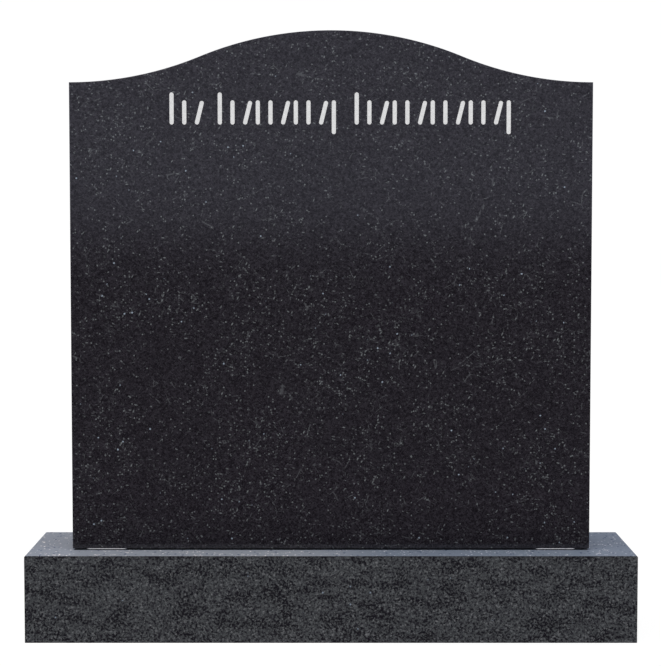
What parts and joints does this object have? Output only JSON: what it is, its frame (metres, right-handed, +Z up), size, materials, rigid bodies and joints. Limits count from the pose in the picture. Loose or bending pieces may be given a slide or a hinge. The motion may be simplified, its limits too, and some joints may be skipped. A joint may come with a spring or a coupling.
{
  "type": "headstone",
  "caption": "Upright headstone: polished dark granite tablet with an ogee top on thin setting pads and a low rough-sided base, one row of shallow strokes.",
  "frame": {"origin": "middle of the base's underside, on the surface that the headstone stands on", "axes": "+Z up, +X along the width to the right as seen from the front, +Y from the inscribed face to the back, so the front faces -Y"},
  "size_m": [0.7, 0.165, 0.699],
  "materials": {
    "polished_granite": "polished",
    "rough_granite": "matte",
    "honed_granite": "satin",
    "inscription_enamel": "satin",
    "pad_plastic": "matte"
  },
  "bodies": {
    "root": {"tablet": "polished_granite", "base": "rough_granite", "setting_pad_left": "pad_plastic", "setting_pad_right": "pad_plastic"}
  },
  "joints": []
}
